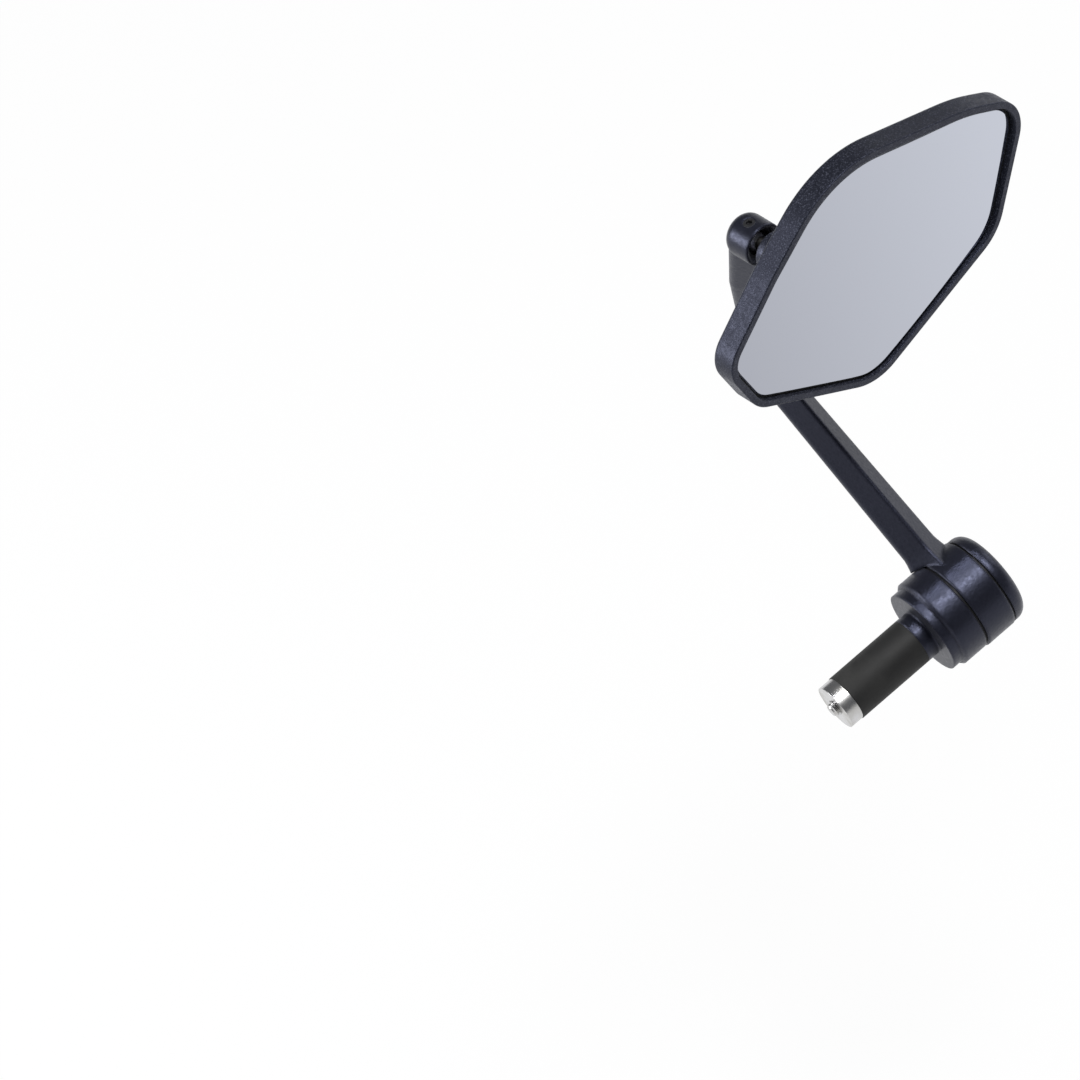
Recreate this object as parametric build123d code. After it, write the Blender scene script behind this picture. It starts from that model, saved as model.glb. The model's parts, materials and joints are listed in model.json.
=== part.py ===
from build123d import *
from math import cos, radians, sin, sqrt, tan
import os

# Motorcycle bar end mirror for the right hand side, in millimetres.
# +X runs along the bar axis and points outboard, +Y points forward and +Z up.
# The origin lies on the bar axis, in the face that seats on the end of the tube.
# The arm is drawn as it is set in use, with the glass facing backwards.

# Tube end that the plug goes into
bar_bore = 18.0                 # inside diameter of the tube
plug_clearance = 0.25           # on the radius, before the sleeve is squeezed
sleeve_length = 30.0
sleeve_bore = 9.0
nut_clearance = 0.5             # on the radius, expander nut in the bore of the tube
spigot_length = 5.0
cone_length = 6.0               # cones that spread the two ends of the sleeve
cone_large_diameter = 14.0
cone_clearance = 0.05
nut_head_length = 5.0

# Ring stack on the bar axis
ring_diameter = 35.6            # ring of the arm, the largest of the stack
collar_diameter = 32.0
collar_length = 3.6
flange_length = 10.05
flange_inset = 0.4              # edge of the flange inside the edge of the ring
flange_chamfer = 0.9
ring_length = 12.0
ring_edge_round = 0.5
hub_diameter = 22.0
hub_end_gap = 0.5               # the hub stops short, so that the cap clamps the ring
running_clearance = 0.05        # on the radius, hub in the bushes and ball in its cup
bush_wall = 1.2
bush_length = 5.0
bush_flange_inset = 1.0         # edge of the bush flange inside the edge of the ring
bush_flange_thickness = 0.7
cap_inset = 0.3                 # edge of the cap inside the edge of the ring
cap_thickness = 6.4
cap_edge_radius = 4.4
cap_crown = 0.7                 # rise of the outer face towards its middle
cap_floor = 2.0                 # under the washers
cap_spigot_diameter = 16.0
cap_spigot_gap = 1.0
fit_clearance = 0.05            # parts that locate in each other without moving

# Clamp bolt, a socket head screw
bolt_diameter = 6.0
bolt_head_diameter = 10.0
bolt_head_height = 6.0
bolt_hex = 5.0                  # across flats
bolt_hex_depth = 3.0
bolt_hole_clearance = 0.2
bolt_tail = 2.0                 # past the expander nut
bolt_recess_clearance = 0.5
bolt_head_sink = 0.6            # head below the face of the cap
washer_diameter = 10.4
plain_washer_thickness = 1.0
spring_washer_thickness = 1.4
spring_washer_diameter = 9.8
spring_washer_slot = 1.0

# Arm, swept in the plane square to the bar axis
arm_offset = -1.95              # middle of the arm from the middle of its ring
arm_rise_angle = 38.7           # lower run above the forward direction
arm_lean_angle = 105.4          # upper run above the forward direction
arm_lower_length = 104.5        # ring axis to the corner of the bend
arm_upper_length = 93.1         # corner of the bend to abreast of the ball
arm_bend_radius = 25.0
arm_base_width = 17.4           # three sided section, before its corners are rounded
arm_root_width = 20.2           # the same where the root starts
arm_root_shift = -0.6           # middle of that section from the middle of the arm
arm_base_depth = 1.8            # back face behind the line through the ring axis
arm_ridge_height = 10.2         # ridge ahead of that line
arm_base_round = 3.0
arm_ridge_round = 0.9
root_start = 24.0               # distance from the ring axis where the root starts to flare
root_depth = 16.0               # length of the flare, most of it inside the ring
root_side_flare = 1.2
root_ridge_flare = 5.6
root_clearance = 0.3            # over the flange
neck_length = 26.0              # top of the upper run, drawn in to the socket
neck_width = 16.4
neck_shift = 1.4
neck_base_depth = 0.5

# Ball socket at the top of the arm
ball_outboard = 3.5             # ball from the middle of the arm
ball_ahead = 5.0                # ball ahead of the line of the upper run
socket_yaw = 5.6                # degrees that the socket and the glass turn outboard
socket_diameter = 15.4
socket_front = 6.0              # rim ahead of the ball
socket_rear = 6.5               # back end behind the ball
socket_rear_round = 4.2
socket_front_round = 0.6
socket_mouth_flare = 1.4        # the mouth opens by this much on the radius
socket_blend = 2.0              # upper run stops this far below the socket axis
ball_diameter = 9.0
cup_wall = 1.0
cup_lip = 2.5                   # cup reaches this far ahead of the ball centre
clip_width = 1.5                # retaining ring, across its flat face
clip_thickness = 0.8
clip_groove_depth = 0.6
screw_diameter = 4.0            # set screw in the socket wall
screw_hex = 2.0
screw_hex_depth = 1.2
screw_sink = 0.15
screw_angle = 7.0               # degrees from the top towards outboard
screw_ahead = 0.8
screw_tip_gap = 0.1

# Ball stud and its fastening in the head
neck_diameter = 4.6
stud_flange_diameter = 7.6
stud_flange_thickness = 1.2
shank_diameter = 5.0
shank_tail = 1.0
stud_washer_diameter = 9.6
stud_washer_thickness = 1.0
stud_nut_flats = 8.0
stud_nut_height = 4.0

# Head, in its own plane: right and up from the ball, seen from the rear
glass_outboard = 96.0           # reach of the sharp outline outboard of the ball
glass_inboard = -38.6
glass_top = 25.7
glass_bottom = -63.8
top_corner_right = 22.3
shoulder_inset = 19.2           # corners behind the outboard and inboard reach
shoulder_up = -0.9
end_corner_up = -16.0
lower_inset = 26.8
lower_up = -52.6
bottom_corner_right = 7.9
heel_inset = 4.6
heel_up = -30.1
inner_corner_up = -8.7
waist_inset = 26.6
waist_up = 7.8
glass_corner_radii = [40.0, 70.0, 11.0, 16.0, 17.0, 10.0, 8.5, 60.0]
glass_thickness = 2.0
glass_sphere_radius = 1200.0
glass_pole_lean = 25.0          # degrees, keeps the poles of the spheres off the glass
glass_edge_bevel = 0.5
glass_gap = 0.9                 # between the glass and the wall of the tray
tray_wall = 2.5
tray_floor = 2.0
tray_depth = 9.4
tray_back_round = 1.6
tray_rim_chamfer = 0.3
tray_ahead = 27.4               # front rim ahead of the ball
glass_below_rim = 0.3           # crown of the glass below the rim
gasket_below_glass = 0.7
boss_diameter = 14.0
boss_ahead = 9.0                # end face of the boss ahead of the ball
boss_end_wall = 2.5
boss_root_radius = 3.0
boss_edge_round = 0.8
nut_recess_clearance = 0.4

# Places along the bar axis
flange_start = collar_length
flange_end = flange_start + flange_length
ring_start = flange_end + bush_flange_thickness
ring_end = ring_start + ring_length
cap_start = ring_end + bush_flange_thickness
cap_end = cap_start + cap_thickness
hub_end = cap_start - hub_end_gap
ring_middle = ring_start + ring_length / 2
arm_middle = ring_middle + arm_offset
plug_radius = bar_bore / 2 - plug_clearance
sleeve_outer_end = -spigot_length
sleeve_inner_end = sleeve_outer_end - sleeve_length
nut_inner_end = sleeve_inner_end - nut_head_length
head_seat = cap_end - bolt_head_sink - bolt_head_height
washer_seat = head_seat - spring_washer_thickness - plain_washer_thickness
cap_spigot_end = washer_seat - cap_floor

# Directions of the arm in the plane square to the bar axis
rise = radians(arm_rise_angle)
lean = radians(arm_lean_angle)
lower_run = Vector(0, cos(rise), sin(rise))
upper_run = Vector(0, cos(lean), sin(lean))
upper_face = Vector(0, -sin(lean), cos(lean))
yaw = radians(socket_yaw)
head_right = Vector(cos(yaw), sin(yaw), 0)
head_ahead = Vector(sin(yaw), -cos(yaw), 0)
arm_start = Vector(arm_middle, 0, 0)
arm_corner = arm_start + lower_run * arm_lower_length
socket_side = arm_corner + upper_run * arm_upper_length
ball_centre = socket_side + upper_face * ball_ahead + Vector(ball_outboard, 0, 0)

# Plane of the head: its origin is the centre of the ball, its normal the way that the glass faces
head_plane = Plane(origin=ball_centre, x_dir=head_right, z_dir=head_ahead)
along_bar = Plane(origin=(0, 0, 0), x_dir=(0, 1, 0), z_dir=(1, 0, 0))

# Sharp outline of the glass, clockwise from the top
glass_corners = [
    (top_corner_right, glass_top),
    (glass_outboard - shoulder_inset, shoulder_up),
    (glass_outboard, end_corner_up),
    (glass_outboard - lower_inset, lower_up),
    (bottom_corner_right, glass_bottom),
    (glass_inboard + heel_inset, heel_up),
    (glass_inboard, inner_corner_up),
    (glass_inboard + waist_inset, waist_up),
]


def rod(radius, start, end):
    """Round bar on the bar axis from one X to another."""
    upright = Cylinder(radius, end - start, align=(Align.CENTER, Align.CENTER, Align.MIN))
    return along_bar * Pos(0, 0, start) * upright


def taper(start_radius, end_radius, start, end):
    """Cone on the bar axis from one X to another."""
    shape = Cone(start_radius, end_radius, end - start, align=(Align.CENTER, Align.CENTER, Align.MIN))
    return along_bar * Pos(0, 0, start) * shape


def hexagon(flats, start, depth):
    """Hexagonal prism along the local Z axis."""
    return Pos(0, 0, start) * extrude(RegularPolygon(flats / 2, 6, major_radius=False), depth)


def disc(radius, start, end):
    """Round bar on the local Z axis."""
    return Pos(0, 0, start) * Cylinder(radius, end - start, align=(Align.CENTER, Align.CENTER, Align.MIN))


def outline(offset):
    """Rounded outline of the glass, moved outwards by the offset."""
    count = len(glass_corners)
    edges = []
    points = []
    for index in range(count):
        before = Vector(*glass_corners[index - 1])
        corner = Vector(*glass_corners[index])
        after = Vector(*glass_corners[(index + 1) % count])
        to_before = (before - corner).normalized()
        to_after = (after - corner).normalized()
        half = radians(to_before.get_angle(to_after)) / 2
        middle = (to_before + to_after).normalized()
        moved = corner - middle * (offset / sin(half))
        radius = glass_corner_radii[index] + offset
        reach = radius / tan(half)
        top = moved + middle * (radius / sin(half) - radius)
        points.append((moved + to_before * reach, top, moved + to_after * reach))
    for index in range(count):
        start, top, end = points[index]
        edges.append(ThreePointArc(start, top, end))
        edges.append(Line(end, points[(index + 1) % count][0]))
    return make_face(edges)


def plate(offset, start, end):
    """Plate with the outline of the glass between two distances ahead of the ball."""
    return Pos(0, 0, start) * extrude(outline(offset), end - start)


def arm_section(half_width, base, ridge, shift=0.0):
    """Three sided section with rounded corners: a flat back and a ridge on the rear side."""
    corners = [(shift - half_width, base), (shift + half_width, base), (shift, ridge)]
    triangle = make_face(Polyline(*corners, close=True))
    ordered = triangle.vertices().sort_by(Axis.Y)
    triangle = fillet(ordered[-1], arm_ridge_round)
    ordered = triangle.vertices().group_by(Axis.Y)[0]
    return fillet(ordered, arm_base_round)


def arm_station(distance):
    """Plane square to the lower run at a distance from the ring axis, with its Y towards the rear."""
    return Plane(origin=arm_start + lower_run * distance, x_dir=(1, 0, 0), z_dir=lower_run * -1)


def neck_station(below):
    """Plane square to the upper run at a distance below the socket, with its Y towards the rear."""
    return Plane(origin=socket_side - upper_run * below, x_dir=(1, 0, 0), z_dir=upper_run * -1)


# Plug: flange with its hub and spigot, the rubber sleeve, and the nut that squeezes it
nut_radius = bar_bore / 2 - nut_clearance
bolt_hole_radius = bolt_diameter / 2 + bolt_hole_clearance
sleeve_bore_radius = sleeve_bore / 2
cone_radius = cone_large_diameter / 2
flange_radius = ring_diameter / 2 - flange_inset
flange_ring = rod(flange_radius, flange_start, flange_end)
flange_ring = chamfer(flange_ring.edges().filter_by(GeomType.CIRCLE).sort_by(Axis.X)[0], flange_chamfer)
flange_ring = fillet(flange_ring.edges().filter_by(GeomType.CIRCLE).sort_by(Axis.X)[-1], ring_edge_round)
collar = rod(collar_diameter / 2, 0, flange_start)
hub = rod(hub_diameter / 2, flange_end, hub_end)
spigot = rod(plug_radius, sleeve_outer_end, 0)
nose = taper(sleeve_bore_radius - cone_clearance, cone_radius - cone_clearance,
             sleeve_outer_end - cone_length, sleeve_outer_end)
cap_socket = rod(cap_spigot_diameter / 2, cap_spigot_end - cap_spigot_gap, cap_start)
bolt_way = rod(bolt_hole_radius, nut_inner_end, cap_end)
bar_end_flange = flange_ring + collar + hub + spigot + nose - cap_socket - bolt_way

sleeve = rod(plug_radius, sleeve_inner_end, sleeve_outer_end)
sleeve_way = rod(sleeve_bore_radius, sleeve_inner_end, sleeve_outer_end)
outer_seat = taper(sleeve_bore_radius, cone_radius, sleeve_outer_end - cone_length, sleeve_outer_end)
inner_seat = taper(cone_radius, sleeve_bore_radius, sleeve_inner_end, sleeve_inner_end + cone_length)
expander_sleeve = sleeve - sleeve_way - outer_seat - inner_seat

nut_head = rod(nut_radius, nut_inner_end, sleeve_inner_end)
nut_nose = taper(cone_radius - cone_clearance, sleeve_bore_radius - cone_clearance,
                 sleeve_inner_end, sleeve_inner_end + cone_length)
nut_thread = rod(bolt_diameter / 2, nut_inner_end, sleeve_inner_end + cone_length)
expander_nut = nut_head + nut_nose - nut_thread

# Cap and the bolt that pulls the stack together
cap_radius = ring_diameter / 2 - cap_inset
cap_face = cap_thickness - cap_crown
arc_middle = cap_edge_radius * (1 - sqrt(0.5))
cap_profile = [
    Line((0, 0), (cap_radius, 0)),
    Line((cap_radius, 0), (cap_radius, cap_face - cap_edge_radius)),
    ThreePointArc((cap_radius, cap_face - cap_edge_radius), (cap_radius - arc_middle, cap_face - arc_middle),
                  (cap_radius - cap_edge_radius, cap_face)),
    Line((cap_radius - cap_edge_radius, cap_face), (0, cap_thickness)),
    Line((0, cap_thickness), (0, 0)),
]
cap_dome = revolve(Plane.XZ * make_face(cap_profile), Axis.Z)
cap_spigot = rod(cap_spigot_diameter / 2 - fit_clearance, cap_spigot_end, cap_start)
recess_radius = washer_diameter / 2 + bolt_recess_clearance
bolt_recess = rod(recess_radius, washer_seat, cap_end)
end_cap = along_bar * Pos(0, 0, cap_start) * cap_dome + cap_spigot - bolt_recess - bolt_way

bolt_shank = rod(bolt_diameter / 2, nut_inner_end - bolt_tail, head_seat)
bolt_head = rod(bolt_head_diameter / 2, head_seat, head_seat + bolt_head_height)
bolt_head = fillet(bolt_head.edges().filter_by(GeomType.CIRCLE).sort_by(Axis.X)[-1], bolt_head_sink)
bolt_key = along_bar * hexagon(bolt_hex, head_seat + bolt_head_height - bolt_hex_depth, bolt_hex_depth)
clamp_bolt = bolt_shank + bolt_head - bolt_key

plain_washer = rod(washer_diameter / 2, washer_seat, washer_seat + plain_washer_thickness)
bolt_plain_washer = plain_washer - bolt_way
spring_washer = rod(spring_washer_diameter / 2, head_seat - spring_washer_thickness, head_seat)
washer_split = Pos(head_seat - spring_washer_thickness / 2, spring_washer_diameter / 4, 0)
washer_split = washer_split * Box(spring_washer_thickness * 2, spring_washer_diameter / 2, spring_washer_slot)
bolt_spring_washer = spring_washer - bolt_way - washer_split

# Flanged bushes in the ring of the arm, one from each side
bush_radius = hub_diameter / 2 + running_clearance
bush_outer_radius = bush_radius + bush_wall
bush_flange_radius = ring_diameter / 2 - bush_flange_inset
bush_way = rod(bush_radius, flange_end, cap_start)
inner_bush = rod(bush_outer_radius, flange_end, ring_start + bush_length)
inner_bush = inner_bush + rod(bush_flange_radius, flange_end, ring_start) - bush_way
outer_bush = rod(bush_outer_radius, ring_end - bush_length, cap_start)
outer_bush = outer_bush + rod(bush_flange_radius, ring_end, cap_start) - bush_way

# Arm: ring, flared root, bent run and ball socket in one casting
arm_ring = rod(ring_diameter / 2, ring_start, ring_end)
arm_ring = fillet(arm_ring.edges().filter_by(GeomType.CIRCLE), ring_edge_round)
root_sections = []
for step in range(5):
    share = step / 4
    station = arm_station(root_start - root_depth * share)
    side = arm_root_width / 2 + root_side_flare * min(1.0, 2.5 * share) ** 2
    ridge = arm_ridge_height + root_ridge_flare * share ** 2
    base = -arm_base_depth - root_ridge_flare * share ** 2 / 2
    root_sections.append(station * arm_section(side, base, ridge, arm_root_shift))
root = loft(root_sections)
beside_ring = rod(ring_diameter, flange_start, ring_start) - rod(flange_radius + root_clearance, 0, ring_start)
root_room = beside_ring + rod(ring_diameter, ring_start, ring_end)
root = root & root_room

bend_reach = arm_bend_radius * tan((lean - rise) / 2)
bend_start = arm_corner - lower_run * bend_reach
bend_end = arm_corner + upper_run * bend_reach
neck_start = socket_side - upper_run * neck_length
bend_centre = bend_start + Vector(0, -sin(rise), cos(rise)) * arm_bend_radius
bend_middle = bend_centre + (arm_corner - bend_centre).normalized() * arm_bend_radius
run_section = arm_section(arm_base_width / 2, -arm_base_depth, arm_ridge_height)
root_section = arm_section(arm_root_width / 2, -arm_base_depth, arm_ridge_height, arm_root_shift)
neck_section = arm_section(neck_width / 2, -neck_base_depth, arm_ridge_height, neck_shift)
bend_station = arm_station(arm_lower_length - bend_reach)
lower_arm = loft([arm_station(root_start) * root_section, bend_station * run_section])
arm_path = ThreePointArc(bend_start, bend_middle, bend_end) + Line(bend_end, neck_start)
upper_arm = sweep(bend_station * run_section, path=arm_path)
neck = loft([neck_station(neck_length) * run_section, neck_station(socket_blend) * neck_section])
run = lower_arm + upper_arm + neck

socket_radius = socket_diameter / 2
socket = disc(socket_radius, -socket_rear, socket_front)
socket = fillet(socket.edges().filter_by(GeomType.CIRCLE).sort_by(Axis.Z)[0], socket_rear_round)
socket = fillet(socket.edges().filter_by(GeomType.CIRCLE).sort_by(Axis.Z)[-1], socket_front_round)
cup_radius = ball_diameter / 2 + running_clearance + cup_wall
pocket_radius = cup_radius + running_clearance
groove_radius = pocket_radius + clip_groove_depth
clip_inner_radius = groove_radius - clip_width
groove_start = sqrt(pocket_radius ** 2 - clip_inner_radius ** 2) + running_clearance
groove_end = groove_start + clip_thickness
pocket = Sphere(pocket_radius) + disc(pocket_radius, 0, socket_front)
pocket = pocket + disc(groove_radius, groove_start, groove_end)
mouth = Cone(pocket_radius, pocket_radius + socket_mouth_flare, socket_mouth_flare)
pocket = pocket + Pos(0, 0, socket_front - socket_mouth_flare / 2) * mouth
screw_turn = Rot(0, 0, -screw_angle) * Pos(0, 0, screw_ahead) * Rot(-90, 0, 0)
screw_hole = screw_turn * disc(screw_diameter / 2, cup_radius, socket_radius)
mirror_arm = arm_ring + root + run + head_plane * socket
mirror_arm = mirror_arm - rod(bush_outer_radius, ring_start, ring_end) - head_plane * (pocket + screw_hole)

# Small pieces in the socket
screw_length = socket_radius - screw_sink - cup_radius - screw_tip_gap
screw_top = socket_radius - screw_sink
set_screw = disc(screw_diameter / 2, screw_top - screw_length, screw_top)
set_screw = set_screw - hexagon(screw_hex, screw_top - screw_hex_depth, screw_hex_depth)
socket_set_screw = head_plane * screw_turn * set_screw
clip = disc(groove_radius, groove_start, groove_end) - disc(clip_inner_radius, groove_start, groove_end)
cup_retaining_ring = head_plane * clip
cup_inside = ball_diameter / 2 + running_clearance
cup = Sphere(cup_radius) - Sphere(cup_inside) - disc(cup_radius, cup_lip, cup_radius)
ball_cup = head_plane * cup

# Ball stud, its washer and its nut
flange_back = boss_ahead - stud_flange_thickness
nut_seat = boss_ahead + boss_end_wall
shank_end = nut_seat + stud_washer_thickness + stud_nut_height + shank_tail
stud = Sphere(ball_diameter / 2) + disc(neck_diameter / 2, 0, flange_back)
stud = stud + disc(stud_flange_diameter / 2, flange_back, boss_ahead)
stud = stud + disc(shank_diameter / 2, flange_back, shank_end)
ball_stud = head_plane * stud
shank_way = disc(shank_diameter / 2, boss_ahead, shank_end)
stud_washer_ring = disc(stud_washer_diameter / 2, nut_seat, nut_seat + stud_washer_thickness)
stud_washer = head_plane * (stud_washer_ring - shank_way)
nut_body = hexagon(stud_nut_flats, nut_seat + stud_washer_thickness, stud_nut_height)
stud_nut = head_plane * (nut_body - shank_way)

# Head: tray with its boss, foam pad, gasket and convex glass
tray_back = tray_ahead - tray_depth
tray_inside = tray_back + tray_floor
tray_offset = glass_gap + tray_wall
tray = plate(tray_offset, tray_back, tray_ahead)
tray = fillet(tray.edges().group_by(Axis.Z)[0], tray_back_round)
tray = chamfer(tray.edges().group_by(Axis.Z)[-1], tray_rim_chamfer)
boss_radius = boss_diameter / 2
boss = disc(boss_radius, boss_ahead, tray_inside)
boss = fillet(boss.edges().filter_by(GeomType.CIRCLE).sort_by(Axis.Z)[0], boss_edge_round)
tray = tray + boss
boss_foot = tray.edges().filter_by(GeomType.CIRCLE).filter_by_position(Axis.Z, tray_back, tray_back)
boss_foot = boss_foot.sort_by_distance((0, 0, tray_back))[0]
tray = fillet(boss_foot, boss_root_radius)
nut_recess = disc(stud_washer_diameter / 2 + nut_recess_clearance, nut_seat, tray_inside)
stud_hole = disc(shank_diameter / 2 + running_clearance, boss_ahead, nut_seat)
tray = tray - plate(glass_gap, tray_inside, tray_ahead) - nut_recess - stud_hole
mirror_housing = head_plane * tray

corner_count = len(glass_corners)
crown_right = sum(corner[0] for corner in glass_corners) / corner_count
crown_up = sum(corner[1] for corner in glass_corners) / corner_count
glass_crown = tray_ahead - glass_below_rim
sphere_centre = Pos(crown_right, crown_up, glass_crown - glass_sphere_radius) * Rot(-glass_pole_lean, 0, 0)
front_ball = sphere_centre * Sphere(glass_sphere_radius)
back_ball = sphere_centre * Sphere(glass_sphere_radius - glass_thickness)
glass_block = plate(0, tray_inside, tray_ahead) & front_ball
glass = glass_block - back_ball
glass_front = glass.faces().filter_by(GeomType.SPHERE).sort_by(Axis.Z)[-1]
glass = chamfer(glass_front.edges(), glass_edge_bevel)
mirror_glass = head_plane * glass
foam_pad = head_plane * (plate(0, tray_inside, tray_ahead) & back_ball)
gasket_ball = sphere_centre * Sphere(glass_sphere_radius - gasket_below_glass)
gasket = (plate(glass_gap, tray_inside, tray_ahead) & gasket_ball) - plate(0, tray_inside, tray_ahead)
glass_gasket = head_plane * gasket

nodes = {
    "bar_end_flange": bar_end_flange,
    "expander_sleeve": expander_sleeve,
    "expander_nut": expander_nut,
    "clamp_bolt": clamp_bolt,
    "bolt_plain_washer": bolt_plain_washer,
    "bolt_spring_washer": bolt_spring_washer,
    "end_cap": end_cap,
    "inner_bush": inner_bush,
    "outer_bush": outer_bush,
    "mirror_arm": mirror_arm,
    "socket_set_screw": socket_set_screw,
    "cup_retaining_ring": cup_retaining_ring,
    "ball_cup": ball_cup,
    "ball_stud": ball_stud,
    "stud_washer": stud_washer,
    "stud_nut": stud_nut,
    "mirror_housing": mirror_housing,
    "foam_pad": foam_pad,
    "glass_gasket": glass_gasket,
    "mirror_glass": mirror_glass,
}

os.makedirs("parts", exist_ok=True)
for name, shape in nodes.items():
    export_step(shape, f"parts/{name}.step")

print("ball centre", ball_centre, "arm middle", round(arm_middle, 3), "ring middle", round(ring_middle, 3))
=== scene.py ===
# %% [markdown]
# # A bar end mirror, dressed
# The part is a rear view mirror that grips the end of a tube: a rubber plug goes into it, a
# stack of rings carries a bent cast arm, and a ball joint carries a tray with a convex glass. The solids
# come ready made, in metres, with every piece in its real place. This lesson gives them their finishes,
# cuts the thread that a plain solid lacks, and sets up a small studio. Each step first says what the real
# thing is, then how it could be made, then why it is made this way.

# %% Load the solids
import json
from math import radians, sqrt

import bmesh
import bpy
from mathutils import Matrix, Vector


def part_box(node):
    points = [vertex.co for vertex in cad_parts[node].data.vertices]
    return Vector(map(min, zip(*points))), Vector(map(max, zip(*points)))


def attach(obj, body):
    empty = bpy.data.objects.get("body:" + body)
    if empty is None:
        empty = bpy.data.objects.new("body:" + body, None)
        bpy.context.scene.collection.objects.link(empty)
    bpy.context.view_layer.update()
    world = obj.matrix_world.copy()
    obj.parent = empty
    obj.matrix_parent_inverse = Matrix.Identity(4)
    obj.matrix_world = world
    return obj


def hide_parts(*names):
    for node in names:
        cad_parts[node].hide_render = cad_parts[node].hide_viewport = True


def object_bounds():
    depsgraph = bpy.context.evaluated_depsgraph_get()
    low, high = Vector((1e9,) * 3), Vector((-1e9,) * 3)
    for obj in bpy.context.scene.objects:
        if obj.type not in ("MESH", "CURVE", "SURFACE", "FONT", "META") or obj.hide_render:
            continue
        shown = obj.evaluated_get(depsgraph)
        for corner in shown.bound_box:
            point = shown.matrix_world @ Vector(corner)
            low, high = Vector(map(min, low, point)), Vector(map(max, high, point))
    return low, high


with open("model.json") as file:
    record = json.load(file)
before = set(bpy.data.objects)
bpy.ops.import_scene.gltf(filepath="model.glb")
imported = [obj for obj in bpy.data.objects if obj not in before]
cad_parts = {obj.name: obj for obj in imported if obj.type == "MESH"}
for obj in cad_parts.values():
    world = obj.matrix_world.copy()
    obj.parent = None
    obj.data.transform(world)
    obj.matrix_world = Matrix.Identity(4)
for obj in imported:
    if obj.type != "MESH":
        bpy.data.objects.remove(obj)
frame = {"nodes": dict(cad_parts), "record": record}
solid_low, solid_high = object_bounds()
middle = (solid_low + solid_high) / 2
nodes = frame["nodes"]


def rounded(place):
    """A place to a tenth of a millimetre, for printing."""
    return tuple(round(value, 4) for value in place)


print("solids", len(nodes), "from", rounded(solid_low), "to", rounded(solid_high))

# %% [markdown]
# ## The camera
# The photograph was taken with a long lens from behind and above, with the picture turned a
# little, so that the glass shows its whole outline. A camera can be aimed by a tracking constraint, but a
# constraint keeps the picture level. Here three directions, found from the ring stack and the arm, are
# written straight into its matrix: right, up and back. Two of them are enough, and the third is their cross
# product.

# %% Place the camera
camera_place = (-0.46306, -1.18947, 1.59306)
picture_back = Vector((-0.1893, -0.6293, 0.7538)).normalized()
rough_right = Vector((0.7495, -0.5885, -0.3031))
picture_right = (rough_right - picture_back * rough_right.dot(picture_back)).normalized()
picture_up = picture_back.cross(picture_right)
turn = Matrix((picture_right, picture_up, picture_back)).transposed()
camera_data = bpy.data.cameras.new("photo_camera")
camera_data.lens = 200.0
camera_data.sensor_width = 36.0
camera_data.clip_start = 0.05
camera_data.clip_end = 60.0
camera = bpy.data.objects.new("photo_camera", camera_data)
bpy.context.scene.collection.objects.link(camera)
camera.matrix_world = Matrix.Translation(camera_place) @ turn.to_4x4()
bpy.context.scene.camera = camera
print("camera at", rounded(camera_place), "lens", camera_data.lens)

# %% [markdown]
# ## The floor
# A product picture has a plain pale ground. A tube holds this mirror in the air, and its arm turns all
# the way round, so the floor is one large sheet that lies lower than the head can swing. A backdrop
# that curves up behind the part would do as well, but a flat sheet looks the same from every side.

# %% Lay the floor
floor_reach = 14.0
swing_room = 1.25
head_reach = Vector((solid_high.y, solid_high.z)).length
floor_level = -swing_room * head_reach
floor_place = Matrix.Translation((0, 0, floor_level))
floor_mesh = bpy.data.meshes.new("floor")
ground = bmesh.new()
bmesh.ops.create_grid(ground, x_segments=1, y_segments=1, size=floor_reach, matrix=floor_place)
ground.to_mesh(floor_mesh)
ground.free()
floor = bpy.data.objects.new("floor", floor_mesh)
bpy.context.scene.collection.objects.link(floor)
print("floor at", round(floor_level, 4))

# %% [markdown]
# ## Tools for every material
# A material is a small tree of nodes that ends in one main shader. What is the same all over a surface is
# set on the shader's own sockets, and what varies is wired to them. Each of these jobs takes three or four
# lines of code, so each gets a short function, and the finishes below can be read as recipes.

# %% Helpers that start, set and wire a material
def shader(name):
    """A new node material, its tree, and its main shader."""
    made = bpy.data.materials.new(name)
    made.use_nodes = True
    return made, made.node_tree, made.node_tree.nodes["Principled BSDF"]


def plain(node, values):
    """Set the sockets that are the same all over the surface."""
    for name, value in values.items():
        node.inputs[name].default_value = value


def wire(tree, node, sources):
    """Lead values that vary over the surface to the sockets that are named."""
    for name, source in sources.items():
        tree.links.new(source, node.inputs[name])


def reckon(tree, operation, first, second):
    """A value worked out from two sockets."""
    made = tree.nodes.new("ShaderNodeMath")
    made.operation = operation
    tree.links.new(first, made.inputs[0])
    tree.links.new(second, made.inputs[1])
    return made.outputs[0]


print("helpers", shader.__name__, plain.__name__, wire.__name__, reckon.__name__)

# %% [markdown]
# ## White paint for the floor
# A bright floor could be made with more light, but that would bleach the part too. Here its colour is
# nearly white, and most of what the camera sees of it is a plain glow, so that the ground stays white while
# the soft shadow is still there. Rays that mirror or pass through a surface see the same glow as the
# camera, so the glass shows the ground that the eye sees.

# %% Paint the floor
def eye_rays(tree):
    """A value that is 1 for rays from the camera, or mirrored or passed on by a surface."""
    path = tree.nodes.new("ShaderNodeLightPath")
    direct = reckon(tree, "MAXIMUM", path.outputs["Is Camera Ray"], path.outputs["Is Glossy Ray"])
    return reckon(tree, "MAXIMUM", direct, path.outputs["Is Transmission Ray"])


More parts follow.
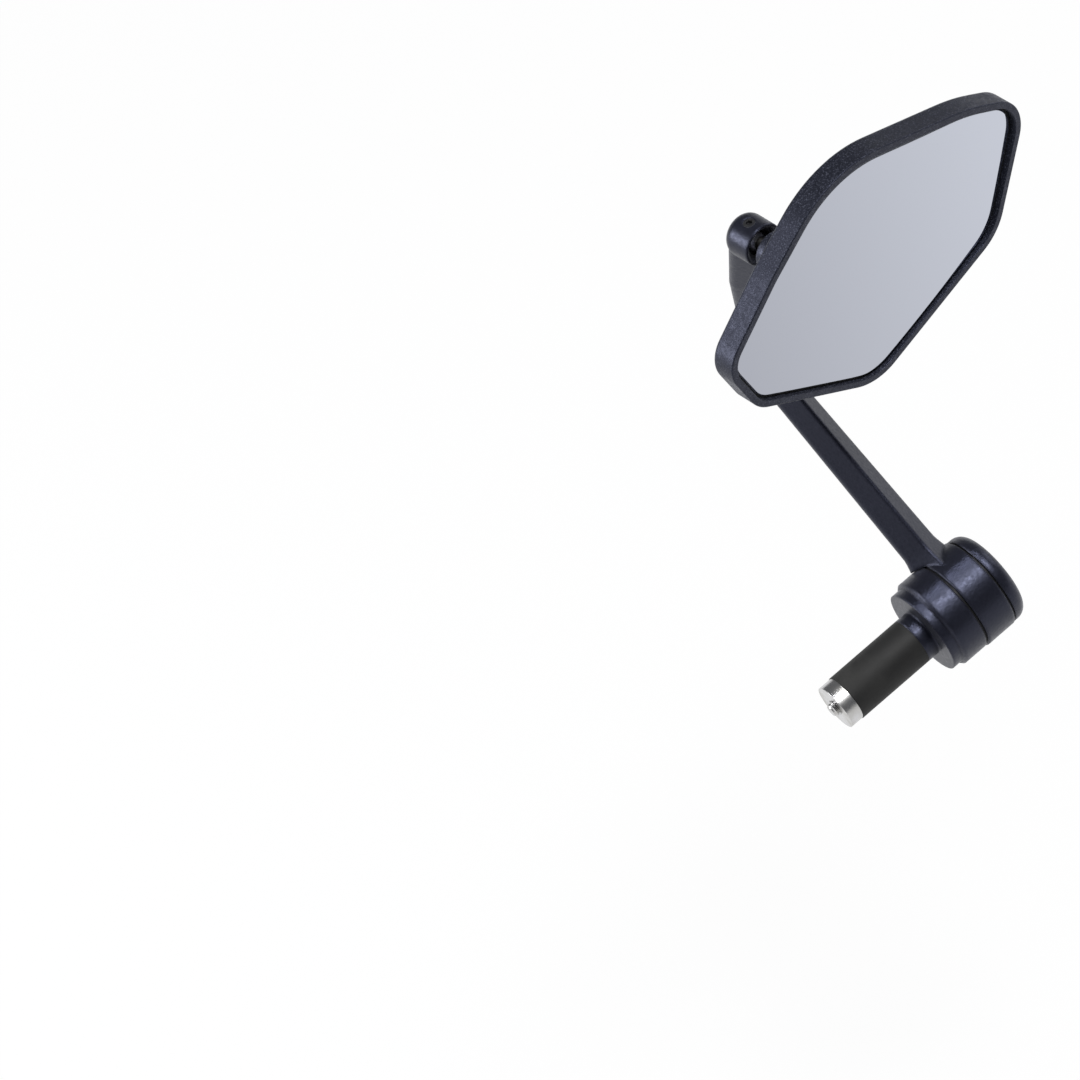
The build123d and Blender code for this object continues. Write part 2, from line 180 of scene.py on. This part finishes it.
glow_share = 0.93
floor_paint, tree, paint = shader("white_ground")
plain(paint, {"Base Color": (0.86, 0.86, 0.87, 1), "Roughness": 0.9, "Specular IOR Level": 0.0})
glow = tree.nodes.new("ShaderNodeEmission")
plain(glow, {"Color": (1, 1, 1, 1), "Strength": 1.0})
share = tree.nodes.new("ShaderNodeMath")
share.operation = "MULTIPLY"
share.inputs[1].default_value = glow_share
tree.links.new(eye_rays(tree), share.inputs[0])
mix = tree.nodes.new("ShaderNodeMixShader")
for place, source in enumerate((share, paint, glow)):
    tree.links.new(source.outputs[0], mix.inputs[place])
tree.links.new(mix.outputs[0], tree.nodes["Material Output"].inputs["Surface"])
floor_mesh.materials.append(floor_paint)
print("floor glows by", glow_share)

# %% [markdown]
# ## Studio light
# Dark satin paint shows its shape only by what it mirrors, so every lamp is an area lamp that shows as a
# soft patch: one overhead for the broad band on the rings, one on the left for the socket and the side of
# the tray, one on the right for the rounded edge of the cap. Small lamps would give hard dots instead. The
# sky around them is a soft grey that fills the shadows.

# %% Hang the lamps
def lamp(name, place, size, watts):
    """A square area lamp at a place, turned towards the middle of the part."""
    data = bpy.data.lights.new(name, "AREA")
    data.size = size
    data.energy = watts
    made = bpy.data.objects.new(name, data)
    made.location = place
    made.rotation_mode = "QUATERNION"
    made.rotation_quaternion = (middle - Vector(place)).to_track_quat("-Z", "Y")
    bpy.context.scene.collection.objects.link(made)


lamp("top_lamp", place=(0.4, -0.35, 1.5), size=0.42, watts=18.0)
lamp("left_lamp", place=(-1.1, 0.75, 0.72), size=0.7, watts=17.0)
lamp("right_lamp", place=(1.4, 0.2, 0.55), size=0.7, watts=5.0)

# %% Tint the sky
world = bpy.data.worlds.new("studio")
world.use_nodes = True
plain(world.node_tree.nodes["Background"], {"Color": (0.94, 0.96, 1.0, 1), "Strength": 0.15})
bpy.context.scene.world = world
bpy.context.scene.view_settings.view_transform = "Standard"
print("sky", world.name, "view", bpy.context.scene.view_settings.view_transform)

# %% [markdown]
# ## Patterns
# No real surface has one colour and one gloss. A picture could be wrapped round each piece, but it would
# have to be unwrapped and would blur up close. A noise in the piece's own coordinates needs no unwrapping,
# is sharp at any distance and stays put when the joints move. One function makes the noise, one stretches
# its range, and one turns it into a colour between two.

# %% Helpers for noise, range and colour
def place_of(tree):
    """The point in the piece's own coordinates, in metres."""
    return tree.nodes.new("ShaderNodeTexCoord").outputs["Object"]


def noise(tree, size, detail=2.0, rough=0.5):
    """Noise whose blotches are about the given size, in metres."""
    made = tree.nodes.new("ShaderNodeTexNoise")
    plain(made, {"Scale": 0.5 / size, "Detail": detail, "Roughness": rough})
    wire(tree, made, {"Vector": place_of(tree)})
    return made.outputs["Fac"]


def to_range(tree, value, low, high, new_low=0.0, new_high=1.0):
    """The value stretched from one range to another, and held inside it."""
    made = tree.nodes.new("ShaderNodeMapRange")
    plain(made, {"From Min": low, "From Max": high, "To Min": new_low, "To Max": new_high})
    wire(tree, made, {"Value": value})
    return made.outputs["Result"]


def colours(tree, value, dark, light):
    """A colour between two, chosen by a value from 0 to 1."""
    made = tree.nodes.new("ShaderNodeMix")
    made.data_type = "RGBA"
    plain(made, {"A": (*dark, 1), "B": (*light, 1)})
    wire(tree, made, {"Factor": value})
    return made.outputs["Result"]


print("helpers", place_of.__name__, noise.__name__, to_range.__name__, colours.__name__)

# %% [markdown]
# ## Bumps and edges
# The solids have sharp edges, and a cast and painted piece does not. Every edge could be cut round in the
# mesh, but a narrow rounding in the shading catches the light as the real edges do, and the bump of the
# coat lies on top of it. The same rounding tells where an edge is, so it also finds the places that hands
# and cloths rub.

# %% Helpers for bumps, edges and dressing
def soft_normal(tree, radius):
    """The surface's direction, with edges rounded off by a radius."""
    made = tree.nodes.new("ShaderNodeBevel")
    made.samples = 6
    plain(made, {"Radius": radius})
    return made.outputs["Normal"]


def bump(tree, height, depth, strength, edge=0.0):
    """A bumped normal from a height, over edges that are rounded off by the given radius."""
    made = tree.nodes.new("ShaderNodeBump")
    plain(made, {"Strength": strength, "Distance": depth})
    wire(tree, made, {"Height": height})
    if edge:
        wire(tree, made, {"Normal": soft_normal(tree, edge)})
    return made.outputs["Normal"]


def worn_edges(tree, radius, low, high):
    """A value that rises on edges: where a rounded normal leaves the true one."""
    dot = tree.nodes.new("ShaderNodeVectorMath")
    dot.operation = "DOT_PRODUCT"
    tree.links.new(soft_normal(tree, radius), dot.inputs[0])
    tree.links.new(tree.nodes.new("ShaderNodeNewGeometry").outputs["Normal"], dot.inputs[1])
    return to_range(tree, dot.outputs["Value"], low=1.0 - low, high=1.0 - high)


def dress(finish, *names):
    """Give a finish to the named solids."""
    for name in names:
        for place in nodes[name].material_slots:
            place.material = finish
    print(finish.name, "on", ", ".join(names))


print("helpers", soft_normal.__name__, bump.__name__, worn_edges.__name__, dress.__name__)

# %% [markdown]
# ## Black satin coat on the arm and the rings
# The arm, the flange and the cap are cast or turned aluminium under a thin black coat with a blue cast. Up
# close it has a faint orange peel and small changes of gloss. One colour would look like plastic, so a fine
# noise moves the surface by less than a tenth of a millimetre, a second one moves the gloss, and a trace of
# grey shows on edges that are rubbed.

# %% Make the black satin coat
blue_cast = {
    "Specular Tint": (0.63, 0.68, 1.0, 1),
    "Sheen Weight": 0.15,
    "Sheen Roughness": 0.3,
    "Sheen Tint": (0.85, 0.88, 1.0, 1),
}
satin, tree, main = shader("black_satin_coat")
edges = worn_edges(tree, radius=0.0005, low=0.02, high=0.25)
patches = to_range(tree, noise(tree, size=0.0012, detail=3), low=0.42, high=0.62, new_high=0.7)
rub = reckon(tree, "MULTIPLY", edges, patches)
flow = noise(tree, size=0.0006, detail=3)
peel = noise(tree, size=0.0005, detail=3)
wire(tree, main, {
    "Base Color": colours(tree, rub, dark=(0.008, 0.0085, 0.013), light=(0.06, 0.062, 0.074)),
    "Roughness": to_range(tree, flow, low=0.3, high=0.7, new_low=0.32, new_high=0.44),
    "Normal": bump(tree, peel, depth=0.00008, strength=0.7, edge=0.0014),
})
plain(main, {"Specular IOR Level": 0.48, **blue_cast})
dress(satin, "mirror_arm", "bar_end_flange", "end_cap")

# %% [markdown]
# ## Charcoal textured coat on the tray
# The tray that holds the glass has a rougher powder coat. In the photograph it sparkles in points about a
# third of a millimetre wide, and that sparkle is painted into its colour as paler points: painted glints.
# Cells of a
# Voronoi pattern would make those points too regular, so two noises of different size are used: one for the
# grain, one for the painted glints.

# %% Make the charcoal coat
powder, tree, main = shader("charcoal_powder_coat")
grain = noise(tree, size=0.0003, detail=3, rough=0.6)
# Painted glints: paler points in the colour stand for the sparkle of the coat.
points = to_range(tree, noise(tree, size=0.00026), low=0.54, high=0.72)
flow = noise(tree, size=0.0008)
wire(tree, main, {
    "Base Color": colours(tree, points, dark=(0.0045, 0.005, 0.0075), light=(0.06, 0.064, 0.086)),
    "Roughness": to_range(tree, flow, low=0.3, high=0.7, new_low=0.42, new_high=0.58),
    "Normal": bump(tree, grain, depth=0.0001, strength=0.6, edge=0.0004),
})
plain(main, {"Specular IOR Level": 0.55, **blue_cast})
dress(powder, "mirror_housing")

# %% [markdown]
# ## The mirror
# The glass is convex and silvered on its back, with a ground edge. It could be built as clear glass over a
# metal sheet, but the two are so close that the eye sees one surface, so one metal does for both. The
# ground edge is told from the face by the direction that the surface points in, in the piece's own
# coordinates: the face looks back along the axis that the head rolls about, the edge does not. The face's
# colour is painted paler towards its outer end: a painted reflection of the studio's brightness.

# %% Tell the face of the glass from its ground edge
rolls = [joint for joint in frame["record"]["behaviour"]["joints"] if joint["name"] == "mirror_roll"]
glass_axis = Vector(rolls[0]["axis"])
edge_begins, face_begins = 0.93, 0.96
mirror, tree, main = shader("convex_mirror")
facing = tree.nodes.new("ShaderNodeVectorMath")
facing.operation = "DOT_PRODUCT"
facing.inputs[1].default_value = glass_axis
tree.links.new(tree.nodes.new("ShaderNodeTexCoord").outputs["Normal"], facing.inputs[0])
face = to_range(tree, facing.outputs["Value"], low=edge_begins, high=face_begins)
print("glass looks along", rounded(glass_axis))

# %% Silver the glass, with a painted reflection
# Painted reflection: the face's colour runs from darker to paler along the piece's X, towards its outer
# end.
painted_reflection_from, painted_reflection_to = -0.01, 0.115
spot = tree.nodes.new("ShaderNodeSeparateXYZ")
tree.links.new(place_of(tree), spot.inputs[0])
painted_reflection_ramp = to_range(tree, spot.outputs["X"], low=painted_reflection_from, high=painted_reflection_to)
silver = tree.nodes.new("ShaderNodeMix")
silver.data_type = "RGBA"
plain(silver, {"A": (0.58, 0.6, 0.65, 1)})
wire(tree, silver, {
    "Factor": face,
    "B": colours(tree, painted_reflection_ramp, dark=(0.415, 0.43, 0.485), light=(0.565, 0.59, 0.665)),
})
smears = to_range(tree, noise(tree, size=0.02, detail=4), low=0.35, high=0.7, new_low=0.015, new_high=0.035)
ground_edge = to_range(tree, face, low=0.0, high=1.0, new_low=0.45, new_high=0.0)
wire(tree, main, {
    "Base Color": silver.outputs["Result"],
    "Roughness": reckon(tree, "ADD", smears, ground_edge),
})
plain(main, {"Metallic": 1.0})
dress(mirror, "mirror_glass")

# %% [markdown]
# ## Rubber, foam and nylon
# The plug's sleeve and the strip round the glass are black rubber: matt, with the bloom that rubber gets.
# The pad behind the glass is foam with open cells. The bushes and the ball's cup are nylon, smoother than
# rubber. One dark shader could serve all three, but they show side by side when the part turns, so each has
# its own grain.

# %% Make the rubber
rubber, tree, main = shader("moulded_black_rubber")
bloom = to_range(tree, noise(tree, size=0.006, detail=4), low=0.45, high=0.75)
skin = noise(tree, size=0.0005, detail=3)
wire(tree, main, {
    "Base Color": colours(tree, bloom, dark=(0.014, 0.014, 0.014), light=(0.03, 0.03, 0.029)),
    "Roughness": to_range(tree, bloom, low=0.0, high=1.0, new_low=0.6, new_high=0.8),
    "Normal": bump(tree, skin, depth=0.00005, strength=0.5, edge=0.0004),
})
plain(main, {"Specular IOR Level": 0.35})
dress(rubber, "expander_sleeve", "glass_gasket")

# %% Make the foam
foam, tree, main = shader("open_cell_foam")
cells = tree.nodes.new("ShaderNodeTexVoronoi")
plain(cells, {"Scale": 1400.0})
wire(tree, cells, {"Vector": place_of(tree)})
# Painted shade: the colour darkens towards the middle of each cell, where the bump sinks the hollows
# deepest.
cell_depth_and_painted_shade = cells.outputs["Distance"]
wire(tree, main, {
    "Base Color": colours(tree, cell_depth_and_painted_shade, dark=(0.01, 0.01, 0.01), light=(0.05, 0.05, 0.05)),
    "Normal": bump(tree, cell_depth_and_painted_shade, depth=0.0003, strength=0.8),
})
plain(main, {"Roughness": 0.95})
dress(foam, "foam_pad")

# %% Make the nylon
nylon, tree, main = shader("bearing_nylon")
flow = noise(tree, size=0.0015, detail=3)
skin = noise(tree, size=0.0006)
wire(tree, main, {
    "Roughness": to_range(tree, flow, low=0.3, high=0.7, new_low=0.4, new_high=0.52),
    "Normal": bump(tree, skin, depth=0.00002, strength=0.4, edge=0.0002),
})
plain(main, {"Base Color": (0.012, 0.012, 0.013, 1), "Specular IOR Level": 0.15})
dress(nylon, "inner_bush", "outer_bush", "ball_cup")

# %% [markdown]
# ## Steel
# The bolt, its washers, the nuts and the ball stud are plated steel, bright with a trace of yellow and the
# fine rings of the lathe. The set screw and the spring ring are steel blackened in oil. Rings are bands
# across the axis of the piece, so a wave texture that
# runs along the plug draws them.

# %% Make the plated steel
steel, tree, main = shader("plated_steel")
rings = tree.nodes.new("ShaderNodeTexWave")
rings.bands_direction = "X"
plain(rings, {"Scale": 900.0, "Distortion": 1.5})
wire(tree, rings, {"Vector": place_of(tree)})
stain = to_range(tree, noise(tree, size=0.003, detail=4), low=0.4, high=0.7)
wire(tree, main, {
    "Base Color": colours(tree, stain, dark=(0.6, 0.6, 0.61), light=(0.5, 0.49, 0.46)),
    "Roughness": to_range(tree, stain, low=0.0, high=1.0, new_low=0.24, new_high=0.42),
    "Normal": bump(tree, rings.outputs["Fac"], depth=0.00001, strength=0.4, edge=0.0002),
})
plain(main, {"Metallic": 1.0})
dress(steel, "bolt_plain_washer", "bolt_spring_washer", "expander_nut",
      "ball_stud", "stud_washer", "stud_nut")

# %% Make the blackened steel
blackened, tree, main = shader("blackened_steel")
cloud = noise(tree, size=0.0008, detail=3)
flow = noise(tree, size=0.0005)
skin = noise(tree, size=0.0003)
wire(tree, main, {
    "Base Color": colours(tree, cloud, dark=(0.035, 0.035, 0.039), light=(0.09, 0.09, 0.096)),
    "Roughness": to_range(tree, flow, low=0.3, high=0.7, new_low=0.32, new_high=0.5),
    "Normal": bump(tree, skin, depth=0.00001, strength=0.4, edge=0.00015),
})
plain(main, {"Metallic": 0.8})
dress(blackened, "socket_set_screw", "cup_retaining_ring")

# %% [markdown]
# ## The clamp bolt
# One socket head bolt pulls the cap, the ring and the plug together. The real one has a straight knurl
# round its head, so that fingers can start it, and a thread that comes out of the nut at the far end. The
# solid has neither, because neither changes how the pieces fit. The knurl is a circle whose every second
# point is drawn in before it is raised. The thread could be a bump, but its end is seen from the side,
# where a bump stays flat, so a four sided profile is spun round the bolt with a step along it.

# %% Raise the bolt's head
bolt_low, bolt_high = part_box("clamp_bolt")
bolt_radius = 0.003
head_radius = (bolt_high.y - bolt_low.y) / 2
head_height = 2 * bolt_radius
head_rim = 0.0006
head_seat = bolt_high.x - head_height
flutes = 48
flute_depth = 0.00022
flute_shrink = 1 - flute_depth / head_radius
along_bolt = Matrix.Rotation(radians(90), 4, "Y")
bolt = bmesh.new()


def raise_face(face, step, shrink):
    """Pull a face along the bolt and draw it in, and return the new face."""
    made = bmesh.ops.extrude_discrete_faces(bolt, faces=[face])["faces"][0]
    bmesh.ops.translate(bolt, verts=made.verts, vec=(step, 0, 0))
    bmesh.ops.scale(bolt, verts=made.verts, vec=(1, shrink, shrink))
    return made


head_start = Matrix.Translation((head_seat, 0, 0)) @ along_bolt
bmesh.ops.create_circle(bolt, cap_ends=True, segments=2 * flutes, radius=head_radius, matrix=head_start)
top = bolt.faces[:][0]
bmesh.ops.scale(bolt, verts=list(top.verts)[::2], vec=(1, flute_shrink, flute_shrink))
top = raise_face(top, step=head_height - head_rim, shrink=1.0)
top = raise_face(top, step=head_rim, shrink=1 - head_rim / head_radius)
print("bolt head radius", round(head_radius, 4), "from", round(head_seat, 4), "to", round(bolt_high.x, 4))

# %% Sink the hexagon for the key
key_flats = 0.005
key_depth = 0.003
key_cone = 0.0008
rim = list(top.edges)
bmesh.ops.delete(bolt, geom=[top], context="FACES_ONLY")
key_start = Matrix.Translation((bolt_high.x, 0, 0)) @ along_bolt
key_radius = key_flats / sqrt(3)
key_ring = bmesh.ops.create_circle(bolt, cap_ends=True, segments=6, radius=key_radius, matrix=key_start)
key_floor = [face for face in key_ring["verts"][0].link_faces if len(face.verts) == 6][0]
bmesh.ops.bridge_loops(bolt, edges=rim + list(key_floor.edges))
key_floor = raise_face(key_floor, step=-key_depth, shrink=1.0)
bmesh.ops.poke(bolt, faces=[key_floor], offset=-key_cone)
print("key", key_flats, "across flats,", key_depth, "deep")

# %% Turn the shank
pitch = 0.001
turns = 20
thread_run_out = 1.2
thread_slack = 0.00005
thread_depth = 0.00061
core_lap = 0.00004
tip_length = 0.0006
tip_taper = 0.0004
shank_sides = 40
crest = bolt_radius - thread_slack
root = bolt_radius - thread_depth
core = root + core_lap
tip_radius = root - tip_taper
tip_end = bolt_low.x + tip_length
thread_end = bolt_low.x + (turns + thread_run_out) * pitch


def bar(start, end, first, second):
    """A round bar between two places along the bolt."""
    place = Matrix.Translation(((start + end) / 2, 0, 0)) @ along_bolt
    bmesh.ops.create_cone(bolt, cap_ends=True, segments=shank_sides, radius1=first, radius2=second,
                          depth=end - start, matrix=place)


bar(bolt_low.x, tip_end, tip_radius, core)
bar(tip_end, thread_end, core, core)
bar(thread_end, head_seat, bolt_radius, bolt_radius)
print("shank from", round(bolt_low.x, 4), "to", round(head_seat, 4))

# %% Spin the thread
turn_steps = 28
thread_inset = 0.0003
thread_start = bolt_low.x + thread_inset
profile = [(0.0, root), (0.36, crest), (0.5, crest), (0.86, root)]
corners = [bolt.verts.new((thread_start + step * pitch, 0, height)) for step, height in profile]
ridge = bolt.faces.new(corners)
bmesh.ops.spin(bolt, geom=[ridge] + list(ridge.edges) + corners, cent=(0, 0, 0), axis=(1, 0, 0),
               dvec=(pitch / turn_steps, 0, 0), angle=radians(360 * turns), steps=turn_steps * turns)
bmesh.ops.recalc_face_normals(bolt, faces=bolt.faces)
print("thread of", turns, "turns at a pitch of", pitch)

# %% Put the bolt in its place
crease_angle = 30
bolt_mesh = bpy.data.meshes.new("threaded_clamp_bolt")
bolt.to_mesh(bolt_mesh)
bolt.free()
bolt_mesh.shade_smooth()
bolt_mesh.set_sharp_from_angle(angle=radians(crease_angle))
bolt_mesh.materials.append(steel)
threaded_bolt = bpy.data.objects.new("threaded_clamp_bolt", bolt_mesh)
bpy.context.scene.collection.objects.link(threaded_bolt)
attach(threaded_bolt, "plug")
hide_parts("clamp_bolt")
print("bolt", len(bolt_mesh.polygons), "faces")
